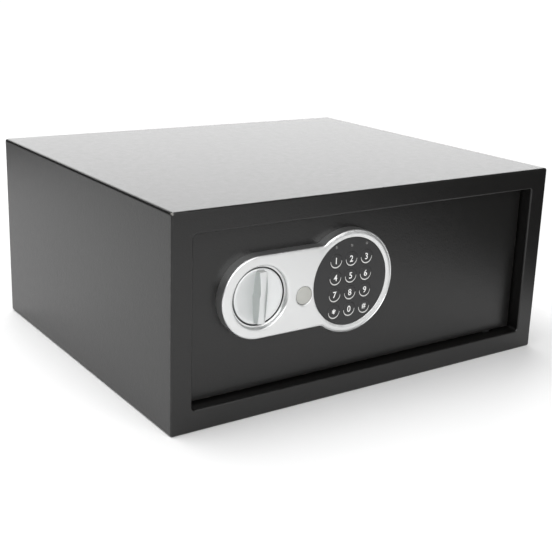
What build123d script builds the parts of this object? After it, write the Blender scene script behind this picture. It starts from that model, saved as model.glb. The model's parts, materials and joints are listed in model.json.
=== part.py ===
"""Hotel in-room safe for a laptop: a folded steel box whose door carries the whole lock.

Millimetres. +X is to the right seen from the front, the front faces -Y, +Z is up.
The origin is the centre of the base. At rest the door is closed and its bolts are drawn in.
"""
import os
from math import cos, radians, sin

from build123d import *

# ---- driving dimensions -------------------------------------------------------------------
WIDTH = 430.0                   # whole safe, X
DEPTH = 370.0                   # whole safe, Y
HEIGHT = 192.0                  # whole safe, Z
SHEET = 2.0                     # body sheet
FOLD_R = 2.5                    # outside radius of the folded long edges
EDGE_R = 1.6                    # rounding of the frame's and back panel's edges
RAIL = 20.0                     # width of the front frame round the door
RETURN_DEPTH = 18.0             # how far the frame's return runs back into the safe
OPENING_R = 3.0                 # corner radius of the door opening

DOOR_GAP = 2.0                  # between door and frame, all round
DOOR_THICK = 4.0
DOOR_RECESS = 13.0              # door face behind the frame face

HINGE_INSET = 26.0              # hinge axis from the door's right edge
HINGE_BEHIND = 8.5              # hinge axis behind the door's face
HINGE_PIN_R = 3.0
RUNNING = 0.06                  # radial clearance of a running fit

PANEL_PROUD = 10.0              # control panel in front of the door
PANEL_Z = 107.7                 # height of the knob's and the keypad's centre
PANEL_WALL = 2.0
PANEL_FACE = 2.5
KEYPAD_X = -30.3
KNOB_X = -127.2                 # knob, its well and its spindle
PANEL_END_X = -128.3            # centre of the panel's small end
PANEL_BIG_R = 48.5              # panel end round the keypad
PANEL_SMALL_R = 37.45           # panel end round the knob, and half the panel's straight height
PANEL_BLEND_R = 7.0             # where the straight edges run into the big end

DISC_R = 41.0                   # keypad disc
DISC_SUNK = 0.8                 # disc face behind the panel face
DISC_THICK = 3.0
DISC_LIP = 0.9                  # how far the disc's rear flange stands out all round
KEY_PITCH_X = 17.2
KEY_PITCH_Z = 15.9
KEY_TOP_ROW = 20.8              # first row above the keypad centre
KEY_R = 6.9
KEY_GAP = 0.15
KEY_PROUD = 0.15
LED_ROW = 33.6                  # indicator row above the keypad centre
LED_R = 1.5

CAP_X = -81.7                   # override lock and its cap
CAP_Z = 102.2
CAP_R = 8.2

WELL_R = 27.8                   # knob well in the panel
WELL_BEVEL = 1.2                # bevel round the well, as wide as it is deep
WELL_GAP = 1.2                  # between the knob's side and the narrow part of the well
WELL_STEP = 0.2                 # where the well narrows, behind the knob's rim
WELL_BOTTOM = 1.2               # thickness of the well's floor
KNOB_R = 25.1
KNOB_CLEAR = 0.2                # between the knob and the well's floor
KNOB_SUNK = 3.7                 # knob's rim behind the panel face
DISH_DEPTH = 2.6                # hollow of the knob's face, below its rim
DISH_R = 22.5                   # radius of the hollow at the rim
GRIP_PROUD = 4.8                # grip in front of the panel face
GRIP_END_R = 23.8               # the grip ends on this circle
GRIP_END_FALL = 2.5             # how far the grip's front falls back at its ends
GRIP_WIDTH = 8.0
GRIP_STEP = 0.5                 # each half of the grip stands this far to its own side
GRIP_LAP = 2.5                  # each half runs this far past the middle
SPINDLE_R = 5.0
STUB_R = 3.2                    # spindle inside the knob, hidden by the grip
STUB_LENGTH = 3.0

BOLT_R = 9.0
BOLT_SPREAD = 36.0              # each bolt above or below the middle of the safe
CRANK_R = 12.0                  # cam pin from the spindle
KNOB_SWING = 70.0               # degrees from drawn to thrown
PIN_R = 3.0
SLIDE_GAP = 0.3

COVER_SHEET = 1.5
COVER_BACK = -124.0             # rear face of the inner door cover
AA_R = 7.1
AA_LENGTH = 50.5

# ---- derived places -----------------------------------------------------------------------
FRONT = -DEPTH / 2
BACK = DEPTH / 2
MID_Z = HEIGHT / 2
OPEN_W = WIDTH - 2 * RAIL
OPEN_H = HEIGHT - 2 * RAIL
RETURN_END = FRONT + RETURN_DEPTH
DOOR_FACE = FRONT + DOOR_RECESS
DOOR_BACK = DOOR_FACE + DOOR_THICK
DOOR_W = OPEN_W - 2 * DOOR_GAP
DOOR_H = OPEN_H - 2 * DOOR_GAP
DOOR_LOW = MID_Z - DOOR_H / 2
DOOR_HIGH = MID_Z + DOOR_H / 2
HINGE_X = DOOR_W / 2 - HINGE_INSET
HINGE_Y = DOOR_FACE + HINGE_BEHIND

PANEL_TOP = DOOR_FACE - PANEL_PROUD     # the panel's front face, as a Y
DISC_TOP = PANEL_TOP + DISC_SUNK
DISC_BACK = DISC_TOP + DISC_THICK
BOARD_TOP = DISC_BACK + 3.5
WELL_FLOOR = DOOR_FACE - 1.3            # underside of the well's floor
KNOB_BACK = WELL_FLOOR - WELL_BOTTOM - KNOB_CLEAR
KNOB_TOP = PANEL_TOP + KNOB_SUNK

CRANK_SIDE = CRANK_R * sin(radians(KNOB_SWING / 2))
THROW = 2 * CRANK_SIDE                  # travel of the bolts
BOLT_Y = DOOR_BACK + 11.5
BOLT_TIP = -191.0                       # nose of a drawn bolt
BAR_X = (-150.0, -146.0)                # end bar that carries the bolts
CARRIAGE_Z = (46.0, 146.0)
CARRIAGE_END = -103.0                   # right edge of the sliding plate
TAIL_END = -58.0                        # right end of its tail
PLATE_Y = (BOLT_Y - 3.25, BOLT_Y - 0.75)
PLUNGER_X = -85.0
PLUNGER_Y = sum(PLATE_Y) / 2
TAIL_Z = (76.0, 88.0)
COVER_X = (-183.0, 140.0)
COVER_Z = (32.0, 160.0)
HATCH_X = (48.0, 122.0)
HATCH_Z = (62.0, 130.0)
BOARD_X = (-45.0, 15.0)
BOARD_Z = (70.0, 140.0)
BOARD_Y = (DOOR_BACK + 12.0, DOOR_BACK + 13.6)
RESET_X = -5.0
RESET_Z = 82.0
BATTERY_OPENING = ((54.0, 116.0), (68.0, 124.0))    # X and Z, in the inner cover
TRAY = ((52.0, 118.0), (66.0, 126.0))
TRAY_DEPTH = 18.0
TRAY_WALL = 1.5
RIBBON_Z = 95.5                         # plug of the flat cable on the main board
BUZZER = (-28.0, 122.0)
POWER_PLUG = ((6.0, 14.0), (92.0, 100.0))
COIL_PLUG = ((-44.0, -36.0), (80.0, 88.0))
PROCESSOR = ((-8.0, 6.0), (104.0, 118.0))

BACK_HOLES = [(-125.0, MID_Z), (125.0, MID_Z)]
BASE_HOLES = [(x, y) for x in (-150.0, 150.0) for y in (-100.0, 100.0)]
FIXING_R = 5.0
PANEL_SCREWS = [(-88.0, 130.0), (-88.0, 85.0)] + [
    (KEYPAD_X + 44.9 * cos(radians(a)), PANEL_Z + 44.9 * sin(radians(a))) for a in (40, -40)]
COVER_POSTS = [(x, z) for x in (-172.0, 130.0) for z in (42.0, 150.0)]
BOARD_POSTS = [(x, z) for x in (-40.0, 12.0) for z in (75.0, 135.0)]
DISC_POSTS = [(KEYPAD_X - 32.5, PANEL_Z), (KEYPAD_X + 32.5, PANEL_Z), (KEYPAD_X, PANEL_Z - 37.9)]
GUIDES = [(-134.0, z) for z in (56.0, 136.0)]
CABLE_Z = PANEL_Z - 24.0                # cable hole in the door, behind the keypad

KEYS = ["1", "2", "3", "4", "5", "6", "7", "8", "9", "star", "0", "hash"]


# ---- small builders -----------------------------------------------------------------------
def block(x, y, z):
    """Box between three (low, high) pairs."""
    middle = Pos(sum(x) / 2, sum(y) / 2, sum(z) / 2)
    return middle * Box(x[1] - x[0], y[1] - y[0], z[1] - z[0])


def rod_x(y, z, r, x):
    base = Pos(x[0], y, z) * Rot(0, 90, 0)
    return base * Cylinder(r, x[1] - x[0], align=(Align.CENTER, Align.CENTER, Align.MIN))


def rod_y(x, z, r, y):
    base = Pos(x, y[0], z) * Rot(-90, 0, 0)
    return base * Cylinder(r, y[1] - y[0], align=(Align.CENTER, Align.CENTER, Align.MIN))


def rod_z(x, y, r, z):
    return Pos(x, y, z[0]) * Cylinder(r, z[1] - z[0], align=(Align.CENTER, Align.CENTER, Align.MIN))


def slab(sketch, y):
    """A sketch drawn in X and Z, made solid between two Y values."""
    return extrude(Plane.XZ.offset(-y[1]) * sketch, amount=y[1] - y[0])


def rounded(width, height, r, x=0.0, z=MID_Z):
    return Pos(x, z) * RectangleRounded(width, height, r)


def front_edges(solid):
    return solid.edges().group_by(Axis.Y)[0]


def back_edges(solid):
    return solid.edges().group_by(Axis.Y)[-1]


def group(solids):
    """Identical pieces that share one node."""
    return Compound(children=list(solids))


def save(shape, node):
    export_step(shape, f"parts/{node}.step")


# ---- body ---------------------------------------------------------------------------------
def body_wrap():
    """Floor, sides and top folded from one sheet, drilled in the floor."""
    outer = rounded(WIDTH, HEIGHT, FOLD_R)
    inner = rounded(WIDTH - 2 * SHEET, HEIGHT - 2 * SHEET, FOLD_R - SHEET)
    wrap = slab(outer - inner, (FRONT + SHEET, BACK - SHEET))
    for x, y in BASE_HOLES:
        wrap -= rod_z(x, y, FIXING_R, (-1, SHEET + 1))
    return wrap


def back_panel():
    panel = slab(rounded(WIDTH, HEIGHT, FOLD_R), (BACK - SHEET, BACK))
    panel = fillet(back_edges(panel), EDGE_R)
    for x, z in BACK_HOLES:
        panel -= rod_y(x, z, FIXING_R, (BACK - SHEET - 1, BACK + 1))
    return panel


def front_frame():
    """Face of the frame with a return all round that the bolts catch behind.

    The return is notched above and below the hinge pins.
    """
    opening = rounded(OPEN_W, OPEN_H, OPENING_R)
    face = slab(rounded(WIDTH, HEIGHT, FOLD_R) - opening, (FRONT, FRONT + SHEET))
    collar = rounded(OPEN_W + 2 * SHEET, OPEN_H + 2 * SHEET, OPENING_R + SHEET) - opening
    frame = fillet(front_edges(face + slab(collar, (FRONT, RETURN_END))), EDGE_R)
    notch = block((HINGE_X - 8, HINGE_X + 8), (RETURN_END - 4, RETURN_END + 1), (SHEET, HEIGHT - SHEET))
    return frame - notch


def floor_mat():
    """Felt mat with a clear hole over each fixing hole."""
    half = WIDTH / 2 - SHEET - 2
    mat = block((-half, half), (-160, BACK - SHEET - 2), (SHEET, SHEET + 3))
    for x, y in BASE_HOLES:
        mat -= rod_z(x, y, 13, (0, 10))
    return mat


def hinge_brackets():
    """Plates welded above and below the opening, one pin hole each."""
    wall = WIDTH / 2 - SHEET
    brackets = []
    for low in (MID_Z - OPEN_H / 2 - SHEET - 4, MID_Z + OPEN_H / 2 + SHEET):
        plate = block((HINGE_X - 12, wall), (FRONT + SHEET, HINGE_Y + 13), (low, low + 4))
        hole = rod_z(HINGE_X, HINGE_Y, HINGE_PIN_R + RUNNING, (low - 1, low + 5))
        brackets.append(plate - hole)
    return group(brackets)


def thrust_washer():
    """Carries the door's weight on the lower bracket."""
    low = MID_Z - OPEN_H / 2 - SHEET
    bore = rod_z(HINGE_X, HINGE_Y, HINGE_PIN_R + RUNNING, (low - 1, DOOR_LOW + 1))
    return rod_z(HINGE_X, HINGE_Y, 6, (low, DOOR_LOW - SLIDE_GAP)) - bore


# ---- door ---------------------------------------------------------------------------------
def door_plate():
    """Flat steel door, drilled for the panel, the knob, the override lock and the cable."""
    plate = block((-DOOR_W / 2, DOOR_W / 2), (DOOR_FACE, DOOR_BACK), (DOOR_LOW, DOOR_HIGH))
    holes = [(x, z, 2.2) for x, z in PANEL_SCREWS]
    holes += [(KNOB_X, PANEL_Z, 7.0), (CAP_X, CAP_Z, 8.1), (KEYPAD_X, CABLE_Z, 11.0)]
    for x, z, r in holes:
        plate -= rod_y(x, z, r, (DOOR_FACE - 1, DOOR_BACK + 1))
    return plate


def hinge_lugs():
    """Blocks welded behind the door that hold the hinge pins."""
    lugs = []
    for z in ((DOOR_LOW, DOOR_LOW + 22), (DOOR_HIGH - 22, DOOR_HIGH)):
        lug = block((HINGE_X - 7, HINGE_X + 7), (DOOR_BACK, DOOR_BACK + 11), z)
        lugs.append(lug - rod_z(HINGE_X, HINGE_Y, HINGE_PIN_R, (z[0] - 1, z[1] + 1)))
    return group(lugs)


def hinge_pins():
    reach = OPEN_H / 2 + SHEET + 3.8
    low = (MID_Z - reach, DOOR_LOW + 20)
    high = (DOOR_HIGH - 20, MID_Z + reach)
    return group(rod_z(HINGE_X, HINGE_Y, HINGE_PIN_R, z) for z in (low, high))


def cover_posts():
    """Threaded posts welded to the door, which the inner cover is screwed to."""
    posts = []
    for x, z in COVER_POSTS:
        post = rod_y(x, z, 4, (DOOR_BACK, COVER_BACK - COVER_SHEET))
        posts.append(post - rod_y(x, z, 2, (COVER_BACK - 14, COVER_BACK)))
    return group(posts)


def hatch_rail(z_web, z_lip):
    """Angle along the battery hatch: a web beside it and a lip over its edge."""
    web = block(HATCH_X, (COVER_BACK, COVER_BACK + 4), z_web)
    lip = block(HATCH_X, (COVER_BACK + 2.6, COVER_BACK + 4), z_lip)
    return web + lip


def inner_cover():
    """Pan behind the door that hides the lock, with the battery opening and its two rails."""
    x, z = COVER_X, COVER_Z
    size = (x[1] - x[0], z[1] - z[0])
    place = {"x": sum(x) / 2, "z": sum(z) / 2}
    pan = slab(rounded(*size, 4, **place), (DOOR_BACK, COVER_BACK))
    room = rounded(size[0] - 2 * COVER_SHEET, size[1] - 2 * COVER_SHEET, 2.5, **place)
    pan -= slab(room, (DOOR_BACK - 1, COVER_BACK - COVER_SHEET))
    for side in (-1, 1):
        pan -= rod_x(BOLT_Y, MID_Z + side * BOLT_SPREAD, BOLT_R + 0.4, (x[0] - 1, x[0] + 3))
    for px, pz in COVER_POSTS:
        pan -= rod_y(px, pz, 2.2, (COVER_BACK - 3, COVER_BACK + 1))
    pan -= rod_y(RESET_X, RESET_Z, 4.3, (COVER_BACK - 3, COVER_BACK + 1))
    pan -= block(BATTERY_OPENING[0], (COVER_BACK - 3, COVER_BACK + 1), BATTERY_OPENING[1])
    low, high = HATCH_Z
    pan += hatch_rail((low - 2.3, low - 0.3), (low - 2.3, low + 2))
    pan += hatch_rail((high + 0.3, high + 2.3), (high - 2, high + 2.3))
    return pan


def cover_screws():
    screws = []
    for x, z in COVER_POSTS:
        head = rod_y(x, z, 4, (COVER_BACK, COVER_BACK + 2.4))
        head = fillet(back_edges(head), 1.2)
        cross = block((x - 2, x + 2), (COVER_BACK + 1.4, COVER_BACK + 3), (z - 0.4, z + 0.4))
        cross += block((x - 0.4, x + 0.4), (COVER_BACK + 1.4, COVER_BACK + 3), (z - 2, z + 2))
        screws.append(head - cross + rod_y(x, z, 2, (COVER_BACK - 12, COVER_BACK)))
    return group(screws)


# ---- control panel ------------------------------------------------------------------------
def panel_outline():
    """A long body with a round end at the knob and a larger round end at the keypad."""
    length = KEYPAD_X - PANEL_END_X
    band = Pos(PANEL_END_X + length / 2, PANEL_Z) * Rectangle(length, 2 * PANEL_SMALL_R)
    small = Pos(PANEL_END_X, PANEL_Z) * Circle(PANEL_SMALL_R)
    big = Pos(KEYPAD_X, PANEL_Z) * Circle(PANEL_BIG_R)
    outline = band + small + big
    necks = [v for v in outline.vertices() if KNOB_X + 5 < v.X < KEYPAD_X - 5]
    return fillet(necks, PANEL_BLEND_R)


def control_panel():
    """Hollow moulding with the knob's well, the cap's seat and the keypad's opening."""
    outline = panel_outline()
    panel = slab(outline, (PANEL_TOP, DOOR_FACE))
    panel = fillet(front_edges(panel), 1.2)
    panel -= slab(offset(outline, -PANEL_WALL), (PANEL_TOP + PANEL_FACE, DOOR_FACE + 1))
    panel += rod_y(KNOB_X, PANEL_Z, WELL_R + PANEL_WALL, (PANEL_TOP + 1.5, WELL_FLOOR))
    panel += rod_y(CAP_X, CAP_Z, CAP_R + 1.2, (PANEL_TOP + 1, PANEL_TOP + 7))
    for x, z in PANEL_SCREWS:
        start = PANEL_TOP + 2 if x < CAP_X else DISC_BACK + 0.2
        panel += rod_y(x, z, 3.1, (start, DOOR_FACE))
    for x, z in PANEL_SCREWS:
        panel -= rod_y(x, z, 2, (DISC_BACK + 1.5, DOOR_FACE + 1))
    panel -= rod_y(KNOB_X, PANEL_Z, WELL_R, (PANEL_TOP - 1, KNOB_TOP + WELL_STEP))
    panel -= rod_y(KNOB_X, PANEL_Z, KNOB_R + WELL_GAP, (PANEL_TOP, WELL_FLOOR - WELL_BOTTOM))
    panel -= rod_y(KNOB_X, PANEL_Z, 8, (PANEL_TOP, DOOR_FACE))
    bevel = Cone(WELL_R + WELL_BEVEL, WELL_R, WELL_BEVEL, align=(Align.CENTER, Align.CENTER, Align.MIN))
    panel -= Pos(KNOB_X, PANEL_TOP, PANEL_Z) * Rot(-90, 0, 0) * bevel
    panel -= rod_y(CAP_X, CAP_Z, CAP_R + 0.15, (PANEL_TOP - 1, DOOR_FACE))
    panel -= rod_y(KEYPAD_X, PANEL_Z, DISC_R + 0.2, (PANEL_TOP - 1, PANEL_TOP + PANEL_FACE + 1))
    return panel


def panel_screws():
    """Screws put in from behind the door, before the inner cover goes on."""
    screws = []
    for x, z in PANEL_SCREWS:
        shank = rod_y(x, z, 2, (DISC_BACK + 2.5, DOOR_BACK))
        screws.append(shank + rod_y(x, z, 3.5, (DOOR_BACK, DOOR_BACK + 2.2)))
    return group(screws)


def key_place(index):
    row, column = divmod(index, 3)
    x = KEYPAD_X + (column - 1) * KEY_PITCH_X
    z = PANEL_Z + KEY_TOP_ROW - row * KEY_PITCH_Z
    return x, z


def led_places():
    return [(KEYPAD_X + side * KEY_PITCH_X, PANEL_Z + LED_ROW) for side in (-1, 0, 1)]


def keypad_disc():
    """Round fascia, put in from behind, with holes for the keys and the indicators."""
    disc = rod_y(KEYPAD_X, PANEL_Z, DISC_R, (DISC_TOP, PANEL_TOP + PANEL_FACE))
    disc = fillet(front_edges(disc), 0.4)
    disc += rod_y(KEYPAD_X, PANEL_Z, DISC_R + DISC_LIP, (PANEL_TOP + PANEL_FACE, DISC_BACK))
    for index in range(len(KEYS)):
        disc -= rod_y(*key_place(index), KEY_R + KEY_GAP, (DISC_TOP - 1, DISC_BACK + 1))
    for x, z in led_places():
        disc -= rod_y(x, z, LED_R, (DISC_TOP - 1, DISC_BACK + 1))
    for x, z in DISC_POSTS:
        disc += rod_y(x, z, 2.2, (DISC_BACK - 1, BOARD_TOP))
        disc += rod_y(x, z, 1.2, (BOARD_TOP - 1, BOARD_TOP + 2))
    return disc


def key(index):
    """Round key with a retaining flange behind the fascia."""
    x, z = key_place(index)
    cap = rod_y(x, z, KEY_R, (DISC_TOP - KEY_PROUD, DISC_BACK + 0.4))
    cap = fillet(front_edges(cap), 0.3)
    return cap + rod_y(x, z, KEY_R + 0.8, (DISC_BACK + SLIDE_GAP, DISC_BACK + 1.1))


def led(index):
    x, z = led_places()[index]
    return rod_y(x, z, LED_R, (DISC_TOP, BOARD_TOP))


def keypad_board():
    """Round board with one push switch under each key and a plug through the door."""
    board = rod_y(KEYPAD_X, PANEL_Z, 40, (BOARD_TOP, BOARD_TOP + 1.6))
    for x, z in DISC_POSTS:
        board -= rod_y(x, z, 1.2, (BOARD_TOP - 1, BOARD_TOP + 3))
    for index in range(len(KEYS)):
        x, z = key_place(index)
        board += block((x - 2.2, x + 2.2), (BOARD_TOP - 0.7, BOARD_TOP), (z - 2.2, z + 2.2))
        board += rod_y(x, z, 1.4, (BOARD_TOP - 1.2, BOARD_TOP))
    plug_x = (KEYPAD_X - 7, KEYPAD_X + 7)
    return board + block(plug_x, (BOARD_TOP + 1.6, DOOR_BACK - 0.5), (CABLE_Z - 3, CABLE_Z + 3))


# ---- override lock ------------------------------------------------------------------------
def override_cap():
    """Push-in cap with a low dome that hides the key lock."""
    rim = PANEL_TOP + 0.2
    dome = Pos(CAP_X, rim + 44.0, CAP_Z) * Sphere(44.8)
    cap = rod_y(CAP_X, CAP_Z, CAP_R, (rim - 2, rim + 3.4)) & dome
    return cap - rod_y(CAP_X, CAP_Z, CAP_R - 1.2, (rim + 1.2, rim + 5))


def lock_cylinder():
    barrel = rod_y(CAP_X, CAP_Z, 8, (DOOR_FACE - 5, DOOR_BACK + 11))
    barrel += rod_y(CAP_X, CAP_Z, 10.5, (DOOR_FACE - 1.8, DOOR_FACE))
    return barrel - rod_y(CAP_X, CAP_Z, 4.5 + RUNNING, (DOOR_FACE - 6, DOOR_BACK + 12))


def lock_nut():
    nut = slab(Pos(CAP_X, CAP_Z) * RegularPolygon(12, 6), (DOOR_BACK, DOOR_BACK + 4))
    return nut - rod_y(CAP_X, CAP_Z, 8, (DOOR_BACK - 1, DOOR_BACK + 5))


def lock_plug():
    """Turning plug with a keyway in front and a squared tail for the cam."""
    plug = rod_y(CAP_X, CAP_Z, 4.5, (DOOR_FACE - 5, DOOR_BACK + 12))
    plug -= block((CAP_X - 0.8, CAP_X + 0.8), (DOOR_FACE - 6, DOOR_FACE + 9), (CAP_Z - 3, CAP_Z + 3))
    tail = block((CAP_X - 2.5, CAP_X + 2.5), (DOOR_BACK + 12, DOOR_BACK + 16),
                 (CAP_Z - 2.5, CAP_Z + 2.5))
    return plug + tail


def lock_cam():
    """Lever that pushes the plunger's cross pin down when the key is turned."""
    reach = 27.4
    y = (DOOR_BACK + 13, DOOR_BACK + 15)
    arm = block((CAP_X, CAP_X + reach - 5), y, (CAP_Z - 5, CAP_Z + 5))
    arm += rod_y(CAP_X, CAP_Z, 7, y) + rod_y(CAP_X + reach - 5, CAP_Z, 5, y)
    return arm - block((CAP_X - 2.5, CAP_X + 2.5), (y[0] - 1, y[1] + 1), (CAP_Z - 2.5, CAP_Z + 2.5))


# ---- knob and bolt work -------------------------------------------------------------------
def knob():
    """Turning knob: a dished disc with a tall grip across it, its two halves slightly stepped."""
    disc = rod_y(KNOB_X, PANEL_Z, KNOB_R, (KNOB_TOP, KNOB_BACK))
    disc = fillet(front_edges(disc), 0.5)
    hollow_r = (DISH_R ** 2 + DISH_DEPTH ** 2) / (2 * DISH_DEPTH)
    disc -= Pos(KNOB_X, KNOB_TOP + DISH_DEPTH - hollow_r, PANEL_Z) * Sphere(hollow_r)
    half = Rectangle(GRIP_WIDTH, GRIP_END_R + GRIP_LAP, align=(Align.CENTER, Align.MIN))
    half = Pos(GRIP_STEP, -GRIP_LAP) * half
    outline = half + Rot(0, 0, 180) * half
    outline &= Circle(GRIP_END_R)
    grip_top = PANEL_TOP - GRIP_PROUD
    grip = slab(Pos(KNOB_X, PANEL_Z) * outline, (grip_top, KNOB_BACK - 0.5))
    crown_r = (GRIP_END_R ** 2 + GRIP_END_FALL ** 2) / (2 * GRIP_END_FALL)
    grip &= rod_x(grip_top + crown_r, PANEL_Z, crown_r, (KNOB_X - GRIP_WIDTH, KNOB_X + GRIP_WIDTH))
    body = disc + grip
    return body - rod_y(KNOB_X, PANEL_Z, STUB_R, (KNOB_BACK - STUB_LENGTH, KNOB_BACK + 1))


def knob_spindle():
    """Spindle with a thinner stub that the knob is pressed on."""
    spindle = rod_y(KNOB_X, PANEL_Z, SPINDLE_R, (KNOB_BACK, DOOR_BACK + 4.5))
    return spindle + rod_y(KNOB_X, PANEL_Z, STUB_R, (KNOB_BACK - STUB_LENGTH, KNOB_BACK))


def knob_bush():
    """Flanged brass bush in the door plate."""
    bush = rod_y(KNOB_X, PANEL_Z, 7, (DOOR_FACE, DOOR_BACK))
    bush += rod_y(KNOB_X, PANEL_Z, 10, (DOOR_FACE - 1.2, DOOR_FACE))
    return bush - rod_y(KNOB_X, PANEL_Z, SPINDLE_R + RUNNING, (DOOR_FACE - 2, DOOR_BACK + 1))


def crank_place():
    """Cam pin at rest, up and to the right of the spindle."""
    start = radians(KNOB_SWING / 2)
    return KNOB_X + CRANK_R * sin(start), PANEL_Z + CRANK_R * cos(start)


def knob_cam():
    cam = rod_y(KNOB_X, PANEL_Z, 17, (DOOR_BACK + 0.7, DOOR_BACK + 4.5))
    cam -= rod_y(KNOB_X, PANEL_Z, SPINDLE_R, (DOOR_BACK, DOOR_BACK + 5))
    return cam - rod_y(*crank_place(), PIN_R, (DOOR_BACK, DOOR_BACK + 5))


def cam_pin():
    return rod_y(*crank_place(), PIN_R, (DOOR_BACK + 0.7, PLATE_Y[1] + 1))


def cam_screw():
    head = rod_y(KNOB_X, PANEL_Z, 6.5, (DOOR_BACK + 4.5, DOOR_BACK + 6.7))
    slot = (DOOR_BACK + 6, DOOR_BACK + 8)
    return head - block((KNOB_X - 7, KNOB_X + 7), slot, (PANEL_Z - 0.6, PANEL_Z + 0.6))


def slot_x(x, z, r, y):
    """Slot cutter along X between two centre positions."""
    cutter = block(x, y, (z - r, z + r))
    for end in x:
        cutter += rod_y(end, z, r, y)
    return cutter


def bolt_carriage():
    """Sliding plate with an end bar for the bolts and a notched tail for the plunger."""
    through = (PLATE_Y[0] - 1, PLATE_Y[1] + 1)
    plate = block((BAR_X[0], CARRIAGE_END), PLATE_Y, CARRIAGE_Z)
    plate += block(BAR_X, (DOOR_BACK + 2, BOLT_Y + BOLT_R), CARRIAGE_Z)
    plate += block((CARRIAGE_END, TAIL_END), PLATE_Y, TAIL_Z)
    for x, z in GUIDES:
        plate -= slot_x((x - 0.5, x + THROW + 0.5), z, PIN_R + SLIDE_GAP, through)
    crank_x, crank_z = crank_place()
    half = PIN_R + 0.5
    plate -= block((crank_x - half, crank_x + half), through, (crank_z - 5, crank_z + 7))
    for side in (-1, 1):
        plate -= rod_x(BOLT_Y, MID_Z + side * BOLT_SPREAD, 5, (BAR_X[0] - 1, BAR_X[1] + 1))
    for x in (PLUNGER_X, PLUNGER_X + THROW):
        plate -= block((x - 3.5, x + 3.5), through, (TAIL_Z[0] - 1, TAIL_Z[0] + 5))
    return plate


def bolt(side):
    """Round locking bolt with a chamfered nose, riveted through the end bar."""
    z = MID_Z + side * BOLT_SPREAD
    shaft = rod_x(BOLT_Y, z, BOLT_R, (BOLT_TIP, BAR_X[0]))
    shaft = chamfer(shaft.edges().group_by(Axis.X)[0], 1.2)
    return shaft + rod_x(BOLT_Y, z, 5, (BAR_X[0], BAR_X[1] + 0.6))


def carriage_guides():
    """Shouldered screws that the carriage slides on."""
    guides = []
    for x, z in GUIDES:
        foot = rod_y(x, z, 5, (DOOR_BACK, PLATE_Y[0] - SLIDE_GAP))
        stem = rod_y(x, z, PIN_R, (DOOR_BACK, PLATE_Y[1] + 1))
        head = rod_y(x, z, 5.5, (PLATE_Y[1] + SLIDE_GAP, PLATE_Y[1] + 2.8))
        guides.append(foot + stem + head)
    return group(guides)


# ---- solenoid -----------------------------------------------------------------------------
COIL_Z = (39.5, 64.5)
FRAME_Z = (38.0, 66.0)
COLLAR_Z = (70.0, 71.5)
TIP_Z = TAIL_Z[0] - 1


def solenoid_frame():
    """Bent strap: a back on the door and a plate at each end of the coil."""
    x = (PLUNGER_X - 10, PLUNGER_X + 10)
    frame = block(x, (DOOR_BACK, DOOR_BACK + 1.5), FRAME_Z)
    for low in (FRAME_Z[0], COIL_Z[1]):
        frame += block(x, (DOOR_BACK, DOOR_BACK + 18), (low, low + 1.5))
    return frame - rod_z(PLUNGER_X, PLUNGER_Y, 3 + RUNNING, (30, 70))


def solenoid_coil():
    coil = rod_z(PLUNGER_X, PLUNGER_Y, 7.8, COIL_Z)
    return coil - rod_z(PLUNGER_X, PLUNGER_Y, 3 + RUNNING, (30, 70))


def solenoid_plunger():
    """Armature with a spring collar and a cross pin for the override cam."""
    plunger = rod_z(PLUNGER_X, PLUNGER_Y, 3, (34.6, TIP_Z))
    plunger += rod_z(PLUNGER_X, PLUNGER_Y, 4.6, COLLAR_Z)
    return plunger + rod_y(PLUNGER_X, COLLAR_Z[1] + 1.5, 1.2, (PLUNGER_Y, PLUNGER_Y + 7))


def solenoid_spring():
    """Return spring, shown as its sleeve, between the frame and the collar."""
    sleeve = rod_z(PLUNGER_X, PLUNGER_Y, 4.3, (FRAME_Z[1], COLLAR_Z[0]))
    return sleeve - rod_z(PLUNGER_X, PLUNGER_Y, 3.4, (FRAME_Z[1] - 1, COLLAR_Z[0] + 1))


# ---- electronics --------------------------------------------------------------------------
def control_board():
    """Main board with its plugs, processor, buzzer and the switch under the reset button."""
    front, back = BOARD_Y
    board = block(BOARD_X, BOARD_Y, BOARD_Z)
    for x, z in BOARD_POSTS:
        board -= rod_y(x, z, 1.5, (front - 1, back + 1))
    board += block((KEYPAD_X - 7, KEYPAD_X + 7), (front - 2.5, front), (RIBBON_Z - 3.5, RIBBON_Z + 3.5))
    board += block(PROCESSOR[0], (back, back + 1.6), PROCESSOR[1])
    board += rod_y(*BUZZER, 7, (back, back + 6))
    board += block((RESET_X - 3, RESET_X + 3), (back, back + 1.5), (RESET_Z - 3, RESET_Z + 3))
    for x, z in (POWER_PLUG, COIL_PLUG):
        board += block(x, (back, back + 5), z)
    return board


def board_posts():
    """Snap-in posts, one head each behind the board."""
    posts = []
    for x, z in BOARD_POSTS:
        post = rod_y(x, z, 3, (DOOR_BACK, BOARD_Y[0])) + rod_y(x, z, 1.5, BOARD_Y)
        posts.append(post + rod_y(x, z, 2.4, (BOARD_Y[1], BOARD_Y[1] + 1.6)))
    return group(posts)


def battery_places():
    middle = (HATCH_X[0] + HATCH_X[1]) / 2
    return [middle + 15.2 * step for step in (-1.5, -0.5, 0.5, 1.5)]


BATTERY_Y = COVER_BACK - 10.5
BATTERY_Z = (70.5, 70.5 + AA_LENGTH - 1)


def battery_holder():
    """Open tray behind the battery opening."""
    rear = COVER_BACK - COVER_SHEET
    (left, right), (low, high) = TRAY
    tray = block((left, right), (rear - TRAY_DEPTH, rear), (low, high))
    room = block((left + TRAY_WALL, right - TRAY_WALL), (rear - TRAY_DEPTH + TRAY_WALL, rear + 1),
                 (low + TRAY_WALL, high - TRAY_WALL))
    return tray - room


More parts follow.
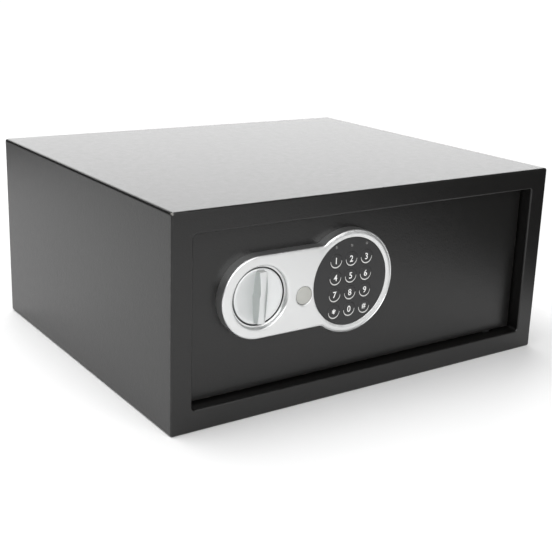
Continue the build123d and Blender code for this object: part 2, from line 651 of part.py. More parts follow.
def batteries():
    """Four cells side by side, turned end for end in turn."""
    low, high = BATTERY_Z
    cells = []
    for index, x in enumerate(battery_places()):
        nub = (high, high + 1) if index % 2 == 0 else (low - 1, low)
        cells.append(rod_z(x, BATTERY_Y, AA_R, BATTERY_Z) + rod_z(x, BATTERY_Y, 2.7, nub))
    return group(cells)


def battery_cover():
    """Sliding hatch with three finger ribs."""
    y = (COVER_BACK + SLIDE_GAP, COVER_BACK + 2.3)
    hatch = block(HATCH_X, y, HATCH_Z)
    middle = sum(HATCH_Z) / 2
    for step in range(3):
        x = HATCH_X[1] - 9 - 4 * step
        hatch += block((x - 0.8, x + 0.8), (y[1], y[1] + 1), (middle - 10, middle + 10))
    return hatch


def reset_button():
    """Button in the inner cover with a long stem down to its switch."""
    cap = rod_y(RESET_X, RESET_Z, 4, (COVER_BACK - 3, COVER_BACK + 1.5))
    cap = fillet(back_edges(cap), 0.6)
    cap += rod_y(RESET_X, RESET_Z, 5.5, (COVER_BACK - 3.4, COVER_BACK - 1.8))
    return cap + rod_y(RESET_X, RESET_Z, 2, (BOARD_Y[1] + 3.2, COVER_BACK - 3))


# ---- wiring held inside the door ----------------------------------------------------------
def ribbon_cable():
    """Flat cable from the keypad's plug up to the main board."""
    start, end = DOOR_BACK - 0.5, BOARD_Y[0] - 2.5
    middle = (start + end) / 2
    route = FilletPolyline((KEYPAD_X, start, CABLE_Z), (KEYPAD_X, middle, CABLE_Z),
                           (KEYPAD_X, middle, RIBBON_Z), (KEYPAD_X, end, RIBBON_Z), radius=4.5)
    section = Plane(origin=route @ 0, x_dir=(1, 0, 0), z_dir=route % 0) * Rectangle(12, 0.9)
    return sweep(section, path=route)


def wire(points, radius):
    """Round wire along straight runs joined by tangent arcs."""
    route = FilletPolyline(*points, radius=radius)
    return sweep(Plane(origin=route @ 0, z_dir=route % 0) * Circle(0.8), path=route)


def battery_lead():
    """Two wires from the battery tray to the plug on the main board."""
    tray, plug = COVER_BACK - COVER_SHEET - 9, BOARD_Y[1] + 2.5
    wires = []
    for lift in (0.0, 3.0):
        high, low = 98 + lift, POWER_PLUG[1][0] + 2.5 + lift
        wires.append(wire([(TRAY[0][0], tray, high), (38, tray, high),
                           (28, plug, low), (POWER_PLUG[0][1], plug, low)], 9))
    return group(wires)


def solenoid_lead():
    """Two wires from the coil to the plug on the main board."""
    side = PLUNGER_X + 7.8
    plug = BOARD_Y[1] + 2.5
    wires = []
    for lift in (0.0, 3.0):
        low, high = 50 + lift, COIL_PLUG[1][0] + 2.5 + lift
        wires.append(wire([(side, PLUNGER_Y, low), (-61 - lift, PLUNGER_Y, low),
                           (-54 - lift, plug, high), (COIL_PLUG[0][0], plug, high)], 7))
    return group(wires)


# ---- write every node ---------------------------------------------------------------------
os.makedirs("parts", exist_ok=True)

SINGLE = [
    body_wrap, back_panel, front_frame, floor_mat, hinge_brackets, thrust_washer,
    door_plate, hinge_lugs, hinge_pins, cover_posts, inner_cover, cover_screws,
    control_panel, panel_screws, keypad_disc, keypad_board,
    override_cap, lock_cylinder, lock_nut, lock_plug, lock_cam,
    knob, knob_spindle, knob_bush, knob_cam, cam_pin, cam_screw, bolt_carriage, carriage_guides,
    solenoid_frame, solenoid_coil, solenoid_plunger, solenoid_spring,
    control_board, board_posts, battery_holder, batteries, battery_cover, reset_button,
    ribbon_cable, battery_lead, solenoid_lead,
]
for build in SINGLE:
    save(build(), build.__name__)
for index, name in enumerate(KEYS):
    save(key(index), f"key_{name}")
for index, name in enumerate(["left", "middle", "right"]):
    save(led(index), f"led_{name}")
save(bolt(1), "bolt_upper")
save(bolt(-1), "bolt_lower")
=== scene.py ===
"""Looks of the hotel safe: materials, control panel, keypad, knob, mat, floor and light."""
import json
import math

import bmesh
import bpy
from mathutils import Matrix, Vector
from mathutils.geometry import delaunay_2d_cdt


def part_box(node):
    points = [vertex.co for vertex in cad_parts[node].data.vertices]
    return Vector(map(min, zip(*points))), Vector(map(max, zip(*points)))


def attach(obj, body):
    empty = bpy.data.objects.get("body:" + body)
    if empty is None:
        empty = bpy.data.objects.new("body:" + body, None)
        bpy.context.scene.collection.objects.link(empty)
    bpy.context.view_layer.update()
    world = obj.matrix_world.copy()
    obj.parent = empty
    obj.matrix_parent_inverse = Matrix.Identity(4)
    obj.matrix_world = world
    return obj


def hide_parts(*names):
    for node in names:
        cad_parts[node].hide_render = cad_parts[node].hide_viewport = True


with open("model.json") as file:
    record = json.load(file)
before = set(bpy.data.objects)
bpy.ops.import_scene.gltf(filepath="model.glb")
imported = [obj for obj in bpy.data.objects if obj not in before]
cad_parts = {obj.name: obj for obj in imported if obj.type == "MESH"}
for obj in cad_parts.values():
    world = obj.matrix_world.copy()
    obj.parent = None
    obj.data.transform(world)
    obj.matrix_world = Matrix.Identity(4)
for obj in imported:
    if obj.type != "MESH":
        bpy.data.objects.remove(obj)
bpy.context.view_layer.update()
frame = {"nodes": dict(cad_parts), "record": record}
nodes = frame["nodes"]
MM = 0.001

# ---- places read from the frame -----------------------------------------------------------
PANEL_LOW, PANEL_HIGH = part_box("control_panel")
DISC_LOW, DISC_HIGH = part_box("keypad_disc")
KNOB_LOW, KNOB_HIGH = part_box("knob")
CAP_LOW, CAP_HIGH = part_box("override_cap")
BODY_LOW, BODY_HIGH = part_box("front_frame")
MAT_LOW, MAT_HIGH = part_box("floor_mat")

KEYPAD_X = (DISC_LOW.x + DISC_HIGH.x) / 2
PANEL_Z = (PANEL_LOW.z + PANEL_HIGH.z) / 2
KNOB_X = (KNOB_LOW.x + KNOB_HIGH.x) / 2
CAP_X = (CAP_LOW.x + CAP_HIGH.x) / 2
CAP_Z = (CAP_LOW.z + CAP_HIGH.z) / 2
PANEL_FRONT = PANEL_LOW.y
DOOR_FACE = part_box("door_plate")[0].y
BIG_R = PANEL_HIGH.x - KEYPAD_X
SMALL_R = 37.45 * MM             # the panel's small end, round its own centre
PANEL_END_X = PANEL_LOW.x + SMALL_R
NECK_R = 7.0 * MM               # hollow blend between the panel's bar and its big end
DISC_R = 41.0 * MM
KNOB_R = KNOB_HIGH.x - KNOB_X
KNOB_RIM = PANEL_FRONT + 3.7 * MM
WELL_R = 27.8 * MM
WELL_BEVEL = 1.2 * MM
WELL_FLOOR = DOOR_FACE - 2.5 * MM
WELL_GAP_R = KNOB_R + 1.2 * MM   # the well narrows to this behind the knob's rim
CAP_R = CAP_HIGH.x - CAP_X
CAP_SEAT_R = CAP_R + 0.5 * MM    # mouth of the cap's seat in the panel
KEY_NAMES = ["1", "2", "3", "4", "5", "6", "7", "8", "9", "star", "0", "hash"]


# ---- material building --------------------------------------------------------------------
class Paint:
    """A principled material with short ways of adding texture nodes to it."""

    def __init__(self, name):
        self.material = bpy.data.materials.new(name)
        self.material.use_nodes = True
        self.tree = self.material.node_tree
        self.shader = self.tree.nodes["Principled BSDF"]
        self.place = self.add("ShaderNodeTexCoord").outputs["Object"]

    def add(self, kind, **settings):
        node = self.tree.nodes.new(kind)
        for key, value in settings.items():
            setattr(node, key, value)
        return node

    def put(self, value, socket):
        if isinstance(value, bpy.types.NodeSocket):
            self.tree.links.new(value, socket)
        elif isinstance(value, tuple) and len(value) == 3 and socket.type == "RGBA":
            socket.default_value = (*value, 1.0)
        else:
            socket.default_value = value

    def set(self, **values):
        names = {"colour": "Base Color", "rough": "Roughness", "metal": "Metallic",
                 "level": "Specular IOR Level", "normal": "Normal", "sheen": "Sheen Weight",
                 "sheen_rough": "Sheen Roughness", "through": "Transmission Weight"}
        for key, value in values.items():
            self.put(value, self.shader.inputs[names[key]])

    def maths(self, operation, a, b=0.0, clamp=False):
        node = self.add("ShaderNodeMath", operation=operation, use_clamp=clamp)
        self.put(a, node.inputs[0])
        self.put(b, node.inputs[1])
        return node.outputs[0]

    def noise(self, scale, detail=2.0, rough=0.5, stretch=None, distortion=0.0):
        node = self.add("ShaderNodeTexNoise")
        node.inputs["Scale"].default_value = scale
        node.inputs["Detail"].default_value = detail
        node.inputs["Roughness"].default_value = rough
        node.inputs["Distortion"].default_value = distortion
        source = self.place
        if stretch:
            mapping = self.add("ShaderNodeMapping")
            mapping.inputs["Scale"].default_value = stretch
            self.put(self.place, mapping.inputs["Vector"])
            source = mapping.outputs[0]
        self.put(source, node.inputs["Vector"])
        return node.outputs["Fac"]

    def cells(self, scale, smooth):
        node = self.add("ShaderNodeTexVoronoi", feature="SMOOTH_F1")
        node.inputs["Scale"].default_value = scale
        node.inputs["Smoothness"].default_value = smooth
        self.put(self.place, node.inputs["Vector"])
        return node.outputs["Distance"]

    def span(self, value, low, high, to_low=0.0, to_high=1.0):
        node = self.add("ShaderNodeMapRange", clamp=True)
        for socket, number in zip(node.inputs[1:5], (low, high, to_low, to_high)):
            self.put(number, socket)
        self.put(value, node.inputs[0])
        return node.outputs[0]

    def mix(self, share, a, b):
        node = self.add("ShaderNodeMix", data_type="RGBA")
        self.put(share, node.inputs[0])
        self.put(a, node.inputs[6])
        self.put(b, node.inputs[7])
        return node.outputs[2]

    def bump(self, height, depth, below=None):
        node = self.add("ShaderNodeBump")
        node.inputs["Strength"].default_value = 1.0
        node.inputs["Distance"].default_value = depth
        self.put(height, node.inputs["Height"])
        if below is not None:
            self.put(below, node.inputs["Normal"])
        return node.outputs[0]

    def softened(self, radius):
        """Surface normal with its sharp edges rounded over."""
        bevel = self.add("ShaderNodeBevel", samples=4)
        bevel.inputs["Radius"].default_value = radius
        return bevel.outputs[0]

    def edges(self, radius):
        """1 on sharp edges, 0 on flat ground."""
        flat = self.add("ShaderNodeNewGeometry").outputs["Normal"]
        dot = self.add("ShaderNodeVectorMath", operation="DOT_PRODUCT")
        self.put(self.softened(radius), dot.inputs[0])
        self.put(flat, dot.inputs[1])
        return self.span(dot.outputs["Value"], 1.0 - 0.002, 1.0 - 0.12)

    def radius_from(self, x, z):
        """Distance from the line through (x, z) along Y."""
        off = self.add("ShaderNodeVectorMath", operation="SUBTRACT")
        self.put(self.place, off.inputs[0])
        off.inputs[1].default_value = (x, 0.0, z)
        flat = self.add("ShaderNodeVectorMath", operation="MULTIPLY")
        self.put(off.outputs[0], flat.inputs[0])
        flat.inputs[1].default_value = (1.0, 0.0, 1.0)
        length = self.add("ShaderNodeVectorMath", operation="LENGTH")
        self.put(flat.outputs[0], length.inputs[0])
        return length.outputs["Value"]

    def depth(self, front, back):
        """0 in front of one Y, 1 behind another."""
        parts = self.add("ShaderNodeSeparateXYZ")
        self.put(self.place, parts.inputs[0])
        return self.span(parts.outputs["Y"], front, back)

    def facing_x(self):
        """1 on walls that face left or right, 0 on all others."""
        parts = self.add("ShaderNodeSeparateXYZ")
        self.put(self.add("ShaderNodeTexCoord").outputs["Normal"], parts.inputs[0])
        return self.span(self.maths("ABSOLUTE", parts.outputs["X"]), 0.55, 0.9)

    def near(self, point, reach):
        """1 at a point, fading to 0 at reach from it."""
        off = self.add("ShaderNodeVectorMath", operation="DISTANCE")
        self.put(self.place, off.inputs[0])
        off.inputs[1].default_value = point
        return self.span(off.outputs["Value"], 0.0, reach, 1.0, 0.0)


def powder_coat(name, base, worn_corner=None):
    """Black hammered powder coat: fine orange peel, a few pits, rubbed edges."""
    p = Paint(name)
    peel = p.cells(720.0, 0.8)
    fine = p.noise(1500.0, 3.0, 0.6)
    wave = p.noise(240.0, 2.0)
    height = p.maths("ADD", p.maths("MULTIPLY", peel, 0.9), p.maths("MULTIPLY", fine, 0.55))
    height = p.maths("ADD", height, p.maths("MULTIPLY", wave, 0.6))
    mottle = p.noise(14.0, 4.0, 0.6)
    edge = p.edges(0.9 * MM)
    worn = p.maths("MULTIPLY", edge, p.span(p.noise(190.0, 4.0, 0.7), 0.52, 0.66), True)
    if worn_corner:
        spot = p.near(worn_corner, 7 * MM)
        ragged = p.maths("ADD", spot, p.maths("MULTIPLY", p.noise(520.0, 3.0), 0.7))
        chip = p.span(ragged, 0.98, 1.06)
        worn = p.maths("MAXIMUM", worn, chip, True)
    dark = p.mix(mottle, tuple(0.8 * v for v in base), tuple(1.25 * v for v in base))
    p.set(colour=p.mix(p.maths("MULTIPLY", worn, 0.5), dark, (0.32, 0.31, 0.29)),
          rough=p.span(p.noise(130.0, 3.0, 0.6), 0.3, 0.7, 0.29, 0.32),
          normal=p.bump(height, 0.075 * MM, p.softened(0.8 * MM)), level=0.5)
    return p.material


def satin_silver(name):
    """Silver paint on plastic, with a fine metal flake; the well's bottom behind the knob is painted
    near black and non-metallic as painted shade.
    """
    p = Paint(name)
    flake = p.noise(5200.0, 2.0, 0.7)
    cloud = p.noise(26.0, 3.0, 0.5)
    tone = p.mix(cloud, (0.70, 0.705, 0.703), (0.73, 0.735, 0.733))
    from_knob = p.radius_from(KNOB_X, PANEL_Z)
    in_well = p.span(from_knob, WELL_GAP_R + 0.1 * MM, WELL_GAP_R + 0.3 * MM, 1.0, 0.0)
    # painted shade: behind the knob's rim the well turns near black and non-metallic, so the gap round
    # the knob reads dark
    painted_well_shade = p.maths("MULTIPLY", in_well, p.depth(KNOB_RIM + 0.2 * MM, KNOB_RIM + 0.7 * MM))
    p.set(colour=p.mix(painted_well_shade, tone, (0.02, 0.02, 0.021)), rough=p.span(cloud, 0.3, 0.7, 0.30, 0.34),
          metal=p.span(painted_well_shade, 0.0, 1.0, 0.92, 0.0), normal=p.bump(flake, 0.006 * MM))
    return p.material


def turned_chrome(name, x, z):
    """Turned silver face with fine lathe rings that fade in and out; walls facing left or right, the
    grip's sides, are painted darker as painted shade.

    It mirrors less than solid chrome would. The metallic value was chosen for the look and is
    not that of a real metal.
    """
    p = Paint(name)
    radius = p.radius_from(x, z)
    rings = p.maths("SINE", p.maths("MULTIPLY", radius, 7400.0))
    slow = p.maths("SINE", p.maths("MULTIPLY", radius, 1900.0))
    smear = p.noise(40.0, 3.0, 0.6)
    both = p.maths("ADD", rings, p.maths("MULTIPLY", slow, 2.0))
    height = p.maths("MULTIPLY", both, p.span(smear, 0.35, 0.65, 0.4, 1.0))
    tone = p.mix(smear, (0.66, 0.67, 0.67), (0.71, 0.72, 0.72))
    # painted shade: walls facing left or right, the grip's sides, get a darker grey tone
    tone = p.mix(p.facing_x(), tone, (0.52, 0.55, 0.54))
    p.set(colour=tone, rough=p.span(smear, 0.3, 0.7, 0.41, 0.46), metal=0.6,
          normal=p.bump(height, 0.0016 * MM))
    return p.material


def plastic(name, colour, rough, grain, grain_scale, spread, worn=0.0):
    """Moulded plastic: a grain this many mm deep, cloudy gloss, and rubbed corners where worn."""
    p = Paint(name)
    cloud = p.noise(45.0, 4.0, 0.6)
    fine = p.noise(grain_scale, 3.0, 0.6)
    dark = tuple(v * (1 - spread) for v in colour)
    light = tuple(min(1.0, v * (1 + spread)) for v in colour)
    tone = p.mix(cloud, dark, light)
    if worn:
        rubbed = p.maths("MULTIPLY", p.edges(0.5 * MM), worn)
        tone = p.mix(rubbed, tone, tuple(min(1.0, v * 1.8 + 0.05) for v in colour))
    p.set(colour=tone, rough=p.span(cloud, 0.3, 0.7, rough - 0.06, rough + 0.06),
          normal=p.bump(fine, grain * MM), level=0.5)
    return p.material


def metal(name, colour, rough):
    """Bare or plated metal with drawn streaks, a tarnish cloud and brighter edges."""
    p = Paint(name)
    streaks = p.noise(420.0, 3.0, 0.6, (1.0, 1.0, 14.0))
    cloud = p.noise(38.0, 5.0, 0.65)
    edge = p.maths("MULTIPLY", p.edges(0.4 * MM), 0.5)
    dull = tuple(v * (1 - 0.2) for v in colour)
    tone = p.mix(edge, p.mix(cloud, dull, colour), tuple(min(1.0, v * 1.25) for v in colour))
    wear = p.maths("ADD", p.maths("MULTIPLY", cloud, 0.6), p.maths("MULTIPLY", streaks, 0.4))
    p.set(colour=tone, rough=p.span(wear, 0.3, 0.7, rough - 0.07, rough + 0.1), metal=1.0,
          normal=p.bump(streaks, 0.006 * MM))
    return p.material


def felt(name):
    """Needled felt: matted short fibres with a little fluff."""
    p = Paint(name)
    long_way = p.noise(900.0, 4.0, 0.7, (1.0, 3.2, 1.0), 1.5)
    cross = p.noise(900.0, 4.0, 0.7, (3.2, 1.0, 1.0), 1.5)
    fibres = p.maths("ADD", long_way, cross)
    cloud = p.noise(30.0, 4.0, 0.6)
    tone = p.mix(cloud, (0.030, 0.032, 0.036), (0.052, 0.054, 0.058))
    tone = p.mix(p.maths("MULTIPLY", p.span(fibres, 0.95, 1.3), 0.5), tone, (0.12, 0.12, 0.125))
    p.set(colour=tone, rough=p.span(cloud, 0.3, 0.7, 0.88, 0.98), normal=p.bump(fibres, 0.5 * MM),
          sheen=0.35, sheen_rough=0.5, level=0.2)
    return p.material


def wrapped_cell(name):
    """Shrink-wrapped cells: a dark wrap with a coppery band at one end, no print."""
    p = Paint(name)
    split = p.add("ShaderNodeSeparateXYZ")
    p.put(p.place, split.inputs[0])
    low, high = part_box("batteries")
    height = p.maths("ADD", split.outputs["Z"], p.maths("MULTIPLY", p.noise(700.0), 0.0004))
    band = p.span(height, high.z - 17.2 * MM, high.z - 16.8 * MM)
    cap = p.maths("MAXIMUM", p.span(height, high.z - 1.3 * MM, high.z - 1.1 * MM),
                  p.span(height, low.z + 1.3 * MM, low.z + 1.1 * MM))
    tone = p.mix(band, (0.012, 0.013, 0.016), (0.42, 0.2, 0.075))
    cloud = p.noise(60.0, 4.0)
    p.set(colour=p.mix(cap, tone, (0.62, 0.62, 0.6)),
          metal=p.maths("MAXIMUM", cap, p.maths("MULTIPLY", band, 0.6)),
          rough=p.span(cloud, 0.3, 0.7, 0.22, 0.36), normal=p.bump(cloud, 0.05 * MM))
    return p.material


def circuit_board(name):
    """Solder mask over copper tracks."""
    p = Paint(name)
    tracks = p.add("ShaderNodeTexBrick")
    tracks.inputs["Scale"].default_value = 170.0
    tracks.inputs["Mortar Size"].default_value = 0.012
    swap = p.add("ShaderNodeMapping")
    swap.inputs["Rotation"].default_value = (math.pi / 2, 0.0, 0.0)
    p.put(p.place, swap.inputs["Vector"])
    p.put(swap.outputs[0], tracks.inputs["Vector"])
    line = tracks.outputs["Fac"]
    cloud = p.noise(80.0, 3.0)
    tone = p.mix(cloud, (0.008, 0.085, 0.03), (0.014, 0.12, 0.045))
    p.set(colour=p.mix(line, tone, (0.05, 0.26, 0.09)), rough=p.span(cloud, 0.3, 0.7, 0.25, 0.4),
          normal=p.bump(line, 0.03 * MM))
    return p.material


def wound_tape(name):
    """Yellowish tape wound round the coil, one lap over the other."""
    p = Paint(name)
    split = p.add("ShaderNodeSeparateXYZ")
    p.put(p.place, split.inputs[0])
    laps = p.maths("FRACT", p.maths("MULTIPLY", split.outputs["Z"], 210.0))
    cloud = p.noise(90.0, 4.0)
    tone = p.mix(cloud, (0.5, 0.3, 0.045), (0.62, 0.4, 0.08))
    p.set(colour=p.mix(p.span(laps, 0.0, 0.08, 0.6, 0.0), tone, (0.2, 0.11, 0.02)),
          rough=p.span(cloud, 0.3, 0.7, 0.28, 0.42), normal=p.bump(laps, 0.06 * MM))
    return p.material


def clear_lens(name):
    """Small unlit indicator lens, frosted inside."""
    p = Paint(name)
    cloud = p.noise(900.0, 3.0)
    p.set(colour=p.mix(cloud, (0.10, 0.10, 0.10), (0.20, 0.20, 0.19)),
          rough=p.span(cloud, 0.3, 0.7, 0.1, 0.25), normal=p.bump(cloud, 0.02 * MM), through=0.25)
    return p.material


WORN_CORNER = (BODY_LOW.x, BODY_LOW.y, BODY_HIGH.z)
FINISH = {
    "body_paint": powder_coat("body_coat", (0.0042, 0.0040, 0.0038), WORN_CORNER),
    "steel": metal("zinc_steel", (0.66, 0.66, 0.64), 0.32),
    "mat_felt": felt("mat_felt_fibre"),
    "panel_silver": satin_silver("panel_satin"),
    "fascia_black": plastic("fascia_film", (0.014, 0.014, 0.0145), 0.42, 0.035, 2600.0, 0.2),
    "key_black": plastic("key_film", (0.0135, 0.0135, 0.014), 0.4, 0.03, 2600.0, 0.2, 0.3),
    "led_clear": clear_lens("led_lens"),
    "cap_grey": plastic("cap_plastic", (0.40, 0.40, 0.375), 0.4, 0.03, 1500.0, 0.06, 0.1),
    "knob_chrome": turned_chrome("knob_turned", KNOB_X, PANEL_Z),
    "brass": metal("lock_brass", (0.72, 0.5, 0.2), 0.28),
    "board_green": circuit_board("board_mask"),
    "nylon_white": plastic("nylon", (0.72, 0.71, 0.66), 0.5, 0.04, 900.0, 0.08),
    "coil_tape": wound_tape("coil_wrap"),
    "black_plastic": plastic("black_moulding", (0.022, 0.022, 0.023), 0.5, 0.06, 1100.0, 0.25, 0.5),
    "cell_wrap": wrapped_cell("cell_sleeve"),
    "button_red": plastic("button_plastic", (0.42, 0.022, 0.018), 0.35, 0.02, 1500.0, 0.12),
    "ribbon_grey": plastic("ribbon_sheath", (0.36, 0.36, 0.37), 0.45, 0.1, 700.0, 0.12),
    "wire_black": plastic("wire_sheath", (0.02, 0.02, 0.021), 0.35, 0.03, 900.0, 0.2),
}
for row in frame["record"]["subparts"]:
    skin = nodes[row["node"]].data.materials
    skin.clear()
    skin.append(FINISH[row["material_slot"]])


# ---- mesh building ------------------------------------------------------------------------
def link(name, data):
    """New object with this data, in the scene."""
    made = bpy.data.objects.new(name, data)
    bpy.context.scene.collection.objects.link(made)
    return made


def finish_mesh(name, bm, slot, body, replaces, sharp=35.0):
    """Turn a bmesh into a smooth-shaded piece on its body, sharp past this many degrees."""
    bmesh.ops.remove_doubles(bm, verts=bm.verts, dist=1e-5)
    bmesh.ops.recalc_face_normals(bm, faces=bm.faces)
    mesh = bpy.data.meshes.new(name)
    bm.to_mesh(mesh)
    bm.free()
    mesh.shade_smooth()
    mesh.set_sharp_from_angle(angle=math.radians(sharp))
    piece = link(name, mesh)
    mesh.materials.append(FINISH[slot])
    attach(piece, body)
    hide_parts(*replaces)
    return piece


def ring_of(bm, points):
    return [bm.verts.new(p) for p in points]


def bridge(bm, first, second):
    count = len(first)
    for i in range(count):
        j = (i + 1) % count
        bm.faces.new((first[i], first[j], second[j], second[i]))


def circle_at(x, z, r, y, count):
    step = 2 * math.pi / count
    return [(x + r * math.cos(step * i), y, z + r * math.sin(step * i)) for i in range(count)]


def revolve(bm, x, z, profile, count):
    """Rings round the line (x, z) along Y, from a list of (radius, y)."""
    rings = []
    for r, y in profile:
        rings.append(ring_of(bm, circle_at(x, z, r, y, count)) if r > 0 else [bm.verts.new((x, y, z))])
    for a, b in zip(rings, rings[1:]):
        if len(a) == 1 or len(b) == 1:
            tip, loop = (a[0], b) if len(a) == 1 else (b[0], a)
            for i in range(count):
                bm.faces.new((tip, loop[i], loop[(i + 1) % count]))
        else:
            bridge(bm, a, b)


def joined_loops(loops):
    """Points of all loops in one list, and the edges that close each loop."""
    points, edges = [], []
    for loop in loops:
        start, count = len(points), len(loop)
        points += [Vector(p) for p in loop]
        edges += [(start + i, start + (i + 1) % count) for i in range(count)]
    return points, edges


# ---- control panel ------------------------------------------------------------------------
NECK_Z = SMALL_R + NECK_R
NECK_X = KEYPAD_X - math.sqrt((BIG_R + NECK_R) ** 2 - NECK_Z ** 2)
NECK_SPAN = math.atan2(NECK_Z, KEYPAD_X - NECK_X)


def outline(inset):
    """The panel's outline drawn in by inset, as (x, z) points that match ring for ring."""
    points = []

    def sweep(cx, cz, r, start, end, count):
        for i in range(count):
            a = start + (end - start) * i / count
            points.append((cx + r * math.cos(a), cz + r * math.sin(a)))

    def straight(x0, x1, z, count):
        points.extend((x0 + (x1 - x0) * i / count, z) for i in range(count))

    sweep(PANEL_END_X, PANEL_Z, SMALL_R - inset, 1.5 * math.pi, 0.5 * math.pi, 60)
    straight(PANEL_END_X, NECK_X, PANEL_Z + SMALL_R - inset, 26)
    sweep(NECK_X, PANEL_Z + NECK_Z, NECK_R + inset, -0.5 * math.pi, -NECK_SPAN, 8)
    sweep(KEYPAD_X, PANEL_Z, BIG_R - inset, math.pi - NECK_SPAN, NECK_SPAN - math.pi, 110)
    sweep(NECK_X, PANEL_Z - NECK_Z, NECK_R + inset, NECK_SPAN, 0.5 * math.pi, 8)
    straight(NECK_X, PANEL_END_X, PANEL_Z - SMALL_R + inset, 26)
    return points


def smooth(value, low, high):
    t = min(1.0, max(0.0, (value - low) / (high - low)))
    return t * t * (3 - 2 * t)


RIM_R = 1.7 * MM                 # rounding of the panel's outer edge
DISC_EDGE = DISC_R + 0.9 * MM
WELL_SIDES, CAP_SIDES, DISC_SIDES = 120, 64, 160


def face_depth(x, z):
    """How far the panel's face lies behind its highest plane."""
    r = math.hypot(x - KEYPAD_X, z - PANEL_Z)
    ring = smooth(x, NECK_X - 5 * MM, NECK_X + 12 * MM)
    t = (r - DISC_EDGE) / (BIG_R - RIM_R - DISC_EDGE)
    fall = 0.55 * MM * max(0.0, 0.55 - t) ** 2 / 0.3 + 0.5 * MM * max(0.0, t - 0.6) ** 2 / 0.16
    return ring * min(fall, 0.8 * MM)


def panel_face(bm, holes):
    """Fine triangle skin between the outline and the holes."""
    points, edges = joined_loops([outline(RIM_R)] + holes)
    fixed = list(points)
    step = 1.6 * MM
    x_count = int((PANEL_HIGH.x - PANEL_LOW.x) / step)
    z_count = int((PANEL_HIGH.z - PANEL_LOW.z) / step)
    for i in range(x_count + 1):
        for j in range(z_count + 1):
            x = PANEL_LOW.x + (i + 0.5 * (j % 2)) * step
            z = PANEL_LOW.z + j * step
            clear_of = min((x - f.x) ** 2 + (z - f.y) ** 2 for f in fixed) if in_face(x, z) else 0.0
            if clear_of > (0.9 * MM) ** 2:
                points.append(Vector((x, z)))
    verts, _, faces, *_ = delaunay_2d_cdt(points, edges, [], 1, 1e-7)
    made = [bm.verts.new((v.x, PANEL_FRONT + face_depth(v.x, v.y), v.y)) for v in verts]
    for face in faces:
        middle = sum((verts[i] for i in face), Vector((0, 0))) / len(face)
        if in_face(middle.x, middle.y):
            bm.faces.new([made[i] for i in face])


def in_face(x, z):
    """Whether the panel's flat face covers this point."""
    if math.hypot(x - KNOB_X, z - PANEL_Z) < WELL_R + WELL_BEVEL:
        return False
    if math.hypot(x - CAP_X, z - CAP_Z) < CAP_SEAT_R:
        return False
    from_keypad = math.hypot(x - KEYPAD_X, z - PANEL_Z)
    if from_keypad < DISC_EDGE:
        return False
    if from_keypad < BIG_R - RIM_R or math.hypot(x - PANEL_END_X, z - PANEL_Z) < SMALL_R - RIM_R:
        return True
    if abs(z - PANEL_Z) < SMALL_R - RIM_R and PANEL_END_X < x < KEYPAD_X:
        return True
    above = abs(z - PANEL_Z)
    return (NECK_X < x < KEYPAD_X and above < NECK_Z
            and math.hypot(x - NECK_X, above - NECK_Z) > NECK_R + RIM_R
            and above < NECK_Z - NECK_Z * (x - NECK_X) / (KEYPAD_X - NECK_X))


def build_panel():
    """Panel moulding: rounded wall, face, knob well, cap seat and the step round the keypad."""
    bm = bmesh.new()
    wall = [(0.0, DOOR_FACE), (0.0, DOOR_FACE - 4 * MM)]
    wall += [(RIM_R * (1 - math.cos(a)), PANEL_FRONT + RIM_R * (1 - math.sin(a)))
             for a in (math.radians(d) for d in range(0, 91, 15))]
    rings = []
    for inset, y in wall:
        rings.append(ring_of(bm, [(x, y, z) for x, z in outline(inset)]))
    top = outline(RIM_R)
    for vert, (x, z) in zip(rings[-1], top):
        vert.co.y = PANEL_FRONT + face_depth(x, z)
    for a, b in zip(rings, rings[1:]):
        bridge(bm, a, b)
    well = [(x, z) for x, _, z in circle_at(KNOB_X, PANEL_Z, WELL_R + WELL_BEVEL, 0, WELL_SIDES)]
    seat = [(x, z) for x, _, z in circle_at(CAP_X, CAP_Z, CAP_SEAT_R, 0, CAP_SIDES)]
    disc = [(x, z) for x, _, z in circle_at(KEYPAD_X, PANEL_Z, DISC_EDGE, 0, DISC_SIDES)]
    panel_face(bm, [well, seat, disc])
    low = PANEL_FRONT + WELL_BEVEL
    revolve(bm, KNOB_X, PANEL_Z, [
        (WELL_R + WELL_BEVEL, PANEL_FRONT), (WELL_R + 1.05 * MM, PANEL_FRONT + 0.1 * MM),
        (WELL_R + 0.2 * MM, low - 0.2 * MM), (WELL_R, low + 0.1 * MM),
        (WELL_R, KNOB_RIM + 0.1 * MM), (WELL_GAP_R + 0.1 * MM, KNOB_RIM + 0.2 * MM),
        (WELL_GAP_R, KNOB_RIM + 0.4 * MM), (WELL_GAP_R, WELL_FLOOR), (8 * MM, WELL_FLOOR)], WELL_SIDES)
    revolve(bm, CAP_X, CAP_Z, [
        (CAP_SEAT_R, PANEL_FRONT), (CAP_R + 0.2 * MM, PANEL_FRONT + 0.3 * MM),
        (CAP_R + 0.15 * MM, PANEL_FRONT + 5 * MM)], CAP_SIDES)
    rings = []
    face_y = [PANEL_FRONT + face_depth(x, z) for x, z in disc]
    for inset, depth in ((0.0, 0.0), (0.25, 0.15), (0.6, 0.75), (0.68, 1.2), (0.68, 2.4)):
        loop = circle_at(KEYPAD_X, PANEL_Z, DISC_EDGE - inset * MM, 0, DISC_SIDES)
        deep = PANEL_FRONT + depth * MM
        rings.append(ring_of(bm, [(x, max(y, deep), z) for (x, _, z), y in zip(loop, face_y)]))
    for a, b in zip(rings, rings[1:]):
        bridge(bm, a, b)
    finish_mesh("panel_moulding", bm, "panel_silver", "door", ["control_panel"], 50.0)


build_panel()


